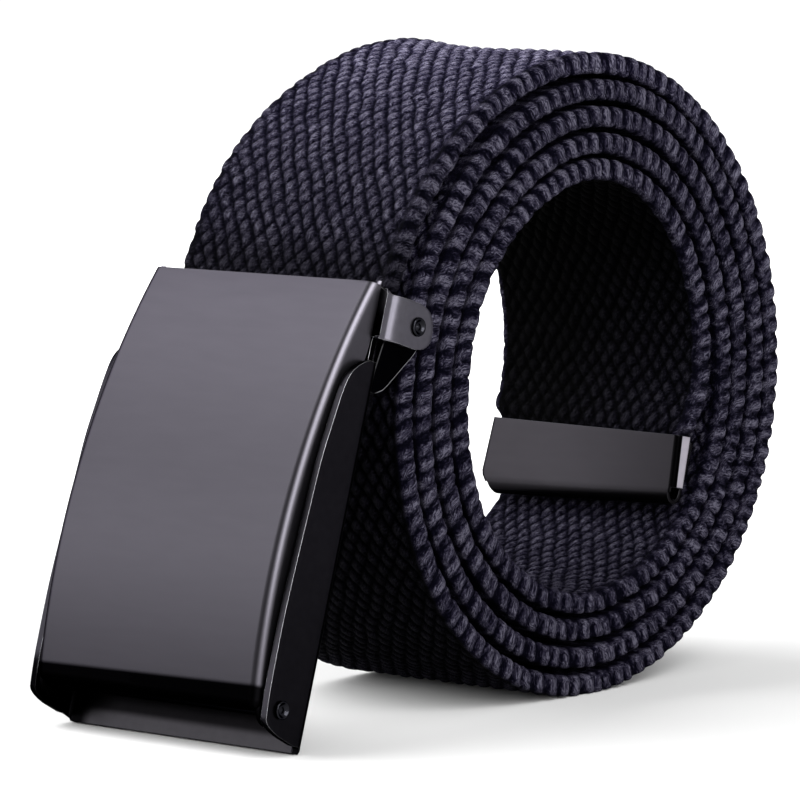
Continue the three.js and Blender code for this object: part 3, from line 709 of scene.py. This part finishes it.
# frame: a plate whose edges are bent forward as walls and, at the top, backward as ears
WALL = [(11.4, 2.3), (11.9, 3.45), (13.8, 5.6), (15.6, 6.4), (21.4, 7.5), (27.0, 8.3), (33.5, 8.7), (41.5, 9.15),
        (49.5, 9.45), (56.6, 9.4), (62.3, 9.0), (62.8, 8.7), (63.4, 7.8), (64.1, 6.0), (64.5, 4.2), (64.85, 2.5)]
EAR = [(1.5, 5.9), (1.7, 7.0), (2.3, 8.2), (3.5, 9.1), (4.7, 9.45), (5.9, 9.4), (7.0, 8.7), (7.6, 7.6), (7.85, 6.4)]
wall_h = hermite(*zip(*WALL))
ear_h = hermite(*zip(*EAR))
FRAME_HALF, BEND, SHEET = 22.0, 1.6, 1.0
CB = FRAME_HALF - BEND
MR = BEND - SHEET / 2
PLATE_END = (OZ + SZ) / math.cos(LEAN)
N_ARC, N_WALL, N_PLATE = 8, 9, 14
EAR_STEP = [(20.30, 0.40), (20.40, 0.12), (20.43, -0.25), (20.47, -0.66), (20.68, -1.08), (20.95, -1.48), (21.22, -1.96), (21.44, -2.70)]

us = sorted(set(np.round(np.concatenate([
    [0.7, 1.0], np.linspace(1.5, 2.3, 5), np.linspace(2.3, 7.0, 14), np.linspace(7.0, 7.85, 4), [8.6, 9.6, 10.6],
    np.linspace(11.4, 16, 14), np.linspace(16, 62, 40), np.linspace(62.1, 64.85, 16), np.linspace(64.95, PLATE_END, 6)]), 4)))
rows = []
for u in us:
    ear, wall, tail = 1.49 <= u <= 7.86, 11.39 <= u <= 64.86, u > 64.86
    wing = []
    if ear:
        for k in range(N_WALL, 0, -1):
            v = -2.70 + (-float(ear_h(u)) + 2.70) * k / N_WALL
            wing.append((CB + MR, v))
        for k in range(N_ARC, 0, -1):
            # the ear is set back a step, and its upper edge sweeps up into the plate
            y, v = EAR_STEP[k - 1]
            wing.append((y, v, -0.65 * (max(0.0, v + 1.0) / 1.5) ** 1.3 * max(0.0, (2.5 - u) / 1.0)))
    elif wall:
        for k in range(N_WALL, 0, -1):
            wing.append((CB + MR, BEND + (float(wall_h(u)) - BEND) * k / N_WALL))
        for k in range(N_ARC, 0, -1):
            a = math.pi / 2 * k / N_ARC
            wing.append((CB + MR * math.sin(a), SHEET / 2 + MR * (1 - math.cos(a))))
    elif tail:
        wing += [None] * N_WALL
        top = math.radians(np.interp(u, [64.86, 65.3, PLATE_END], [80, 45, 22]))
        for k in range(N_ARC, 0, -1):
            a = top * k / N_ARC
            wing.append((CB + MR * math.sin(a), SHEET / 2 + MR * (1 - math.cos(a))))
    else:
        wing += [None] * (N_WALL + N_ARC)
    c = CB - (0.4 if u < 0.9 else 0.0)
    plate = [(y, SHEET / 2) for y in np.linspace(-c, c, N_PLATE + 1)]
    row = [None if p is None else (-p[0], *p[1:]) for p in wing] + plate + [None if p is None else p for p in reversed(wing)]
    rows.append([None if p is None else at(u + (p[2] if len(p) > 2 else 0.0), p[1], p[0]) for p in row])
n_side = N_WALL + N_ARC


def frame_mask(i, j):
    # no face bridges from the ears to the walls
    u0, u1 = us[i], us[i + 1]
    wing_cell = j < n_side or j >= n_side + N_PLATE
    if wing_cell and (u0 < 7.86 < u1 or u0 < 11.39 <= u1 and u0 < 11.39):
        return False
    return True


frame_ob = sheet_object("buckle_frame_sheet", rows, SHEET, 0.15, 2, frame_mask,
                        number=lambda i, j: 2 if n_side <= j < n_side + N_PLATE else 0)
bake(frame_ob)
finish_piece(frame_ob, (M_FRAME, M_EDGE_FRAME, M_PLATE), "belt", "frame_metal", "buckle_frame")

# cover: crowned front, bent sides, lower edge rolled in
COVER_HALF, COVER_T = 20.5, 0.85
FLANGE = [(0.7, 1.42), (3.8, 1.35), (8.9, 1.45), (11.2, 1.8), (14, 3.2), (20, 5.0), (30, 6.0), (42, 6.4), (52, 5.4), (57.4, 3.9), (59.9, 3.8)]
flange_v = hermite(*zip(*FLANGE))


def front(u):
    return 11.5 - (110 - math.sqrt(110 ** 2 - (u - 43) ** 2))


cover_us = sorted(set(np.round(np.concatenate([[0.7, 1.0, 1.4, 1.9, 2.5], np.linspace(3.2, 59.9, 58)]), 4)))
rows = []
N_FL, N_CB, N_FR = 6, 8, 16
for u in cover_us:
    vf = front(u)
    vb = float(flange_v(u))
    r = min(1.4, vf - vb - 0.1)
    rm = max(0.1, r - COVER_T / 2)
    c = COVER_HALF - r
    wing = []
    for k in range(N_FL, 0, -1):
        wing.append((c + rm, vf - r + (vb - (vf - r)) * k / N_FL, -0.6 * k / N_FL * max(0.0, (3.0 - u) / 2.3)))
    for k in range(N_CB, 0, -1):
        a = math.pi / 2 * k / N_CB
        wing.append((c + rm * math.sin(a), vf - r + rm * math.cos(a)))
    # the corner of the top edge is rounded off
    plate = [(y, vf - COVER_T / 2) for y in np.linspace(-c, c, N_FR + 1)]
    row = [(-p[0], *p[1:]) for p in wing] + plate + list(reversed(wing))
    rows.append([at(u + (p[2] if len(p) > 2 else 0.0), p[1], p[0]) for p in row])
u0 = cover_us[-1]
vf = front(u0)
R = 1.5 - COVER_T / 2
vc = vf - 1.5
rm = 1.4 - COVER_T / 2
c = COVER_HALF - 1.4
for k in range(1, 9):
    a = math.pi / 2 * (1 - k / 8)
    row = [None] * N_FL
    wing = []
    for kk in range(N_CB, 0, -1):
        b = math.pi / 2 * kk / N_CB
        rho = max(0.06, R - rm * (1 - math.cos(b)))
        wing.append((c + rm * math.sin(b), rho))
    full = [(-p[0], p[1]) for p in wing] + [(y, R) for y in np.linspace(-c, c, N_FR + 1)] + list(reversed(wing))
    row += [at(u0 + rho * math.cos(a), vc + rho * math.sin(a), y) for y, rho in full]
    row += [None] * N_FL
    rows.append(row)
row = [None] * (N_FL + N_CB) + [at(u0 + R, vc - 0.6, y) for y in np.linspace(-c, c, N_FR + 1)] + [None] * (N_FL + N_CB)
rows.append(row)
cover_ob = sheet_object("buckle_cover_sheet", rows, COVER_T, 0.11, 2, None, 50)
bake(cover_ob)
finish_piece(cover_ob, (M_COVER, M_EDGE_DARK, M_COVER), "cover", "cover_metal", "buckle_cover")


def disc_profile(name, centre, y_out, sgn, profile, sides=40):
    """A turned head: profile is (radius, height out of the wall)."""
    pts, faces = [], []
    for r, h in profile:
        for k in range(sides):
            a = 2 * math.pi * k / sides
            pts.append(at(centre[0] + r * math.cos(a), centre[1] + r * math.sin(a), sgn * (y_out + h)))
    n = len(profile)
    for i in range(n - 1):
        for k in range(sides):
            a, b = i * sides + k, i * sides + (k + 1) % sides
            faces.append((a, b, b + sides, a + sides) if sgn > 0 else (a, a + sides, b + sides, b))
    first, last = tuple(range(sides)), tuple(range((n - 1) * sides, n * sides))
    faces.append(first[::-1] if sgn > 0 else first)
    faces.append(last if sgn > 0 else last[::-1])
    ob = mesh_object(name, pts, faces, True, 50)
    return ob


# hinge bosses inside the cover's flanges
for sgn, tag in ((-1, "near"), (1, "far")):
    ob = disc_profile("cover_boss_" + tag, PIVOT, 19.65, sgn, [(2.45, 0.0), (2.6, 0.08), (2.6, 0.77), (2.45, 0.85)])
    finish_piece(ob, M_COVER, "cover", "cover_metal")

# pins: long hinge pin with dished heads, and two short rivets on the ears
pin_ob = disc_profile("cover_pin_shank", PIVOT, -21.9, 1, [(1.1, 0.0), (1.15, 0.1), (1.15, 43.7), (1.1, 43.8)], 32)
finish_piece(pin_ob, M_JAW, "belt", "pin_metal", "cover_pin")
for sgn, tag in ((-1, "near"), (1, "far")):
    head = disc_profile("cover_pin_head_" + tag, PIVOT, 22.02, sgn,
                        [(1.25, 0.0), (1.30, 0.34), (1.24, 0.46), (1.12, 0.50), (0.98, 0.42), (0.80, 0.16), (0.60, 0.04), (0.42, 0.07), (0.22, 0.20), (0.05, 0.24)])
    finish_piece(head, M_PIN, "belt", "pin_metal")
    rv = disc_profile("clamp_rivet_" + tag + "_body", JAW_PIN, 19.7, sgn,
                      [(0.9, 0.0), (0.95, 0.08), (0.95, 2.30), (1.30, 2.32), (1.34, 2.48), (1.26, 2.66), (1.12, 2.72), (0.95, 2.64), (0.78, 2.42), (0.60, 2.34), (0.45, 2.38), (0.28, 2.54), (0.08, 2.60)])
    finish_piece(rv, M_PIN, "belt", "pin_metal", "clamp_rivet_" + tag)

# tip: folded sheet with side lips
T_SHEET = 0.65
N_LIP, N_TB, N_TF = 4, 5, 14


def tip_point(p_of, q, y):
    f = (y - TIP_NEAR["y"]) / (TIP_FAR["y"] - TIP_NEAR["y"])
    a, b = tn(p_of(tn_len), q), tf(p_of(tf_len), q)
    c = a + (b - a) * f
    return (c[0], y + max(0.0, f) ** 4 * (1.6 * min(1.0, max(0.0, p_of(tf_len) / tf_len)) - 2.0 * max(0.0, p_of(tf_len) / tf_len - 0.78) / 0.22), c[1])


rows = []
y_a, y_b = TIP_NEAR["y"] + T_SHEET / 2, TIP_FAR["y"] - T_SHEET / 2
br = 0.55
for k in range(13):
    g = k / 12
    p_of = lambda L, g=g: g * (L - 1.25)
    row = []
    lip = g < 0.99
    deep = 2.95 - 0.45 * g
    cells = [(0.0, T_SHEET / 2 + br + (deep - T_SHEET / 2 - br) * j / N_LIP) for j in range(N_LIP, 0, -1)]
    cells += [(br * (1 - math.sin(math.pi / 2 * j / N_TB)), T_SHEET / 2 + br * (1 - math.cos(math.pi / 2 * j / N_TB))) for j in range(N_TB, 0, -1)]
    row += [tip_point(p_of, q, y_a + dy) if lip or dy > 0.3 * br else None for dy, q in cells]
    row += [tip_point(p_of, T_SHEET / 2, y) for y in np.linspace(y_a + br, y_b - br, N_TF + 1)]
    row += [tip_point(p_of, q, y_b - dy) if lip or dy > 0.3 * br else None for dy, q in reversed(cells)]
    rows.append(row)
R = 1.40
pad = [None] * (N_LIP + N_TB)
for k in range(1, 9):
    a = -math.pi / 2 + math.pi * k / 8
    p_of = lambda L, a=a: L - 1.25 + R * math.cos(a)
    q = T_SHEET / 2 + R + R * math.sin(a)
    rows.append(pad + [tip_point(p_of, q, y) for y in np.linspace(y_a + br, y_b - br, N_TF + 1)] + pad)
for k in range(1, 9):
    g = k / 8
    p_of = lambda L, g=g: (L - 1.25) + (0.8 - (L - 1.25)) * g
    q = (T_SHEET / 2 + 2 * R) + (4.9 - T_SHEET / 2 - (T_SHEET / 2 + 2 * R)) * g
    rows.append(pad + [tip_point(p_of, q, y) for y in np.linspace(y_a + br, y_b - br, N_TF + 1)] + pad)
tip_ob = sheet_object("strap_tip_sheet", rows, T_SHEET, 0.10, 2, None, 50)
bake(tip_ob)
finish_piece(tip_ob, (M_TIP, M_EDGE_TIP, M_TIP), "belt", "tip_metal", "strap_tip")

# clamp jaw: two side plates joined by the bar that grips the webbing
JAW_SIDE = [(2.9, -6.9), (2.8, -6.2), (2.9, -5.5), (3.6, -4.4), (5.2, -3.0), (8, -1.5), (12, -0.8), (14.9, -0.55), (15.3, -0.8), (15.4, -1.4),
            (15.05, -2.3), (14.5, -3.3), (13.75, -4.05), (12.9, -4.72), (11.7, -5.68), (10.2, -6.85), (9.0, -7.85), (8.0, -8.55),
            (7.2, -8.85), (6.2, -8.8), (4.9, -8.5), (3.8, -8.0), (3.2, -7.5)]
JAW_WEB = [(3.5, -6.1), (4.4, -5.2), (13.1, -4.5), (14.1, -3.85), (14.3, -4.15), (13.5, -5.0), (4.5, -6.1)]


def slab_object(name, outline, y0, y1, bevel):
    me = bpy.data.meshes.new(name)
    n = len(outline)
    pts = [at(u, v, y) for y in (y0, y1) for u, v in outline]
    faces = [tuple(range(n)), tuple(range(2 * n - 1, n - 1, -1))]
    faces += [(k, n + k, n + (k + 1) % n, (k + 1) % n) for k in range(n)]
    ob = mesh_object(name, pts, faces, True, 180)
    for k in range(2):
        ob.data.materials.append(bpy.data.materials.new("later"))
    be = ob.modifiers.new("edges", "BEVEL")
    be.width = bevel / 1000
    be.segments = 2
    be.limit_method = "ANGLE"
    be.angle_limit = math.radians(50)
    # the soft edges take the lighter metal: painted edge highlights
    be.material = 1
    ob.modifiers.new("normals", "WEIGHTED_NORMAL")
    return bake(ob)


for sgn, tag in ((-1, "near"), (1, "far")):
    ob = slab_object("clamp_jaw_" + tag, JAW_SIDE, sgn * 19.6, sgn * 20.4, 0.18)
    finish_piece(ob, (M_JAW, M_EDGE_JAW), "jaw", "frame_metal", "clamp_jaw")
ob = slab_object("clamp_jaw_bar", JAW_WEB, -19.7, 19.7, 0.08)
finish_piece(ob, (M_JAW, M_JAW), "jaw", "frame_metal", "clamp_jaw")

# ------------------------------------------------------------------ studio
bpy.ops.mesh.primitive_plane_add(size=6.0, location=(0, 0, 0))
floor = bpy.context.object
floor.name = "floor"
paper, paper_nt, paper_bsdf = new_material("floor_paper")
# painted shade: the floor's colour darkens towards the belt, 0.43 near it and 0.97 far out, which also darkens what
# the metal reflects
where = paper_nt.nodes.new("ShaderNodeTexCoord")
length = paper_nt.nodes.new("ShaderNodeVectorMath")
length.operation = "LENGTH"
paper_nt.links.new(where.outputs["Object"], length.inputs[0])
paper_nt.links.new(ramp(paper_nt, length.outputs["Value"], [(0.10, (0.43, 0.43, 0.43)), (0.30, (0.60, 0.60, 0.60)), (0.75, (0.97, 0.97, 0.97))]),
                   paper_bsdf.inputs["Base Color"])
paper_bsdf.inputs["Roughness"].default_value = 0.95
paper_bsdf.inputs["Specular IOR Level"].default_value = 0.0
floor.data.materials.append(paper)

world = bpy.data.worlds.new("studio")
scene.world = world
world.use_nodes = True
wn = world.node_tree
wn.nodes["Background"].inputs[0].default_value = (1.0, 1.0, 1.0, 1)
wn.nodes["Background"].inputs[1].default_value = 1.12


def softbox(name, azimuth, elevation, distance, size, radiance, color=(1, 1, 1)):
    """A soft light seen from the belt at a compass direction (degrees from +X towards +Y) and height."""
    data = bpy.data.lights.new(name, "AREA")
    data.shape = "RECTANGLE"
    data.size, data.size_y = size
    data.energy = radiance * math.pi * size[0] * size[1]
    data.color = color
    ob = bpy.data.objects.new(name, data)
    scene.collection.objects.link(ob)
    a, e = math.radians(azimuth), math.radians(elevation)
    d = Vector((math.cos(a) * math.cos(e), math.sin(a) * math.cos(e), math.sin(e)))
    ob.location = Vector((-0.02, 0.0, 0.045)) + d * distance
    ob.rotation_euler = d.to_track_quat("Z", "Y").to_euler()
    ob.visible_camera = False
    return ob


softbox("wall_of_light", 125, 33, 1.0, (1.25, 1.15), 9.0)
softbox("front_low", 250, 17, 1.2, (0.62, 0.50), 12.0)
softbox("front_high", 250, 45, 1.2, (0.62, 0.60), 12.0)

scene.view_settings.view_transform = "Standard"
scene.view_settings.look = "None"
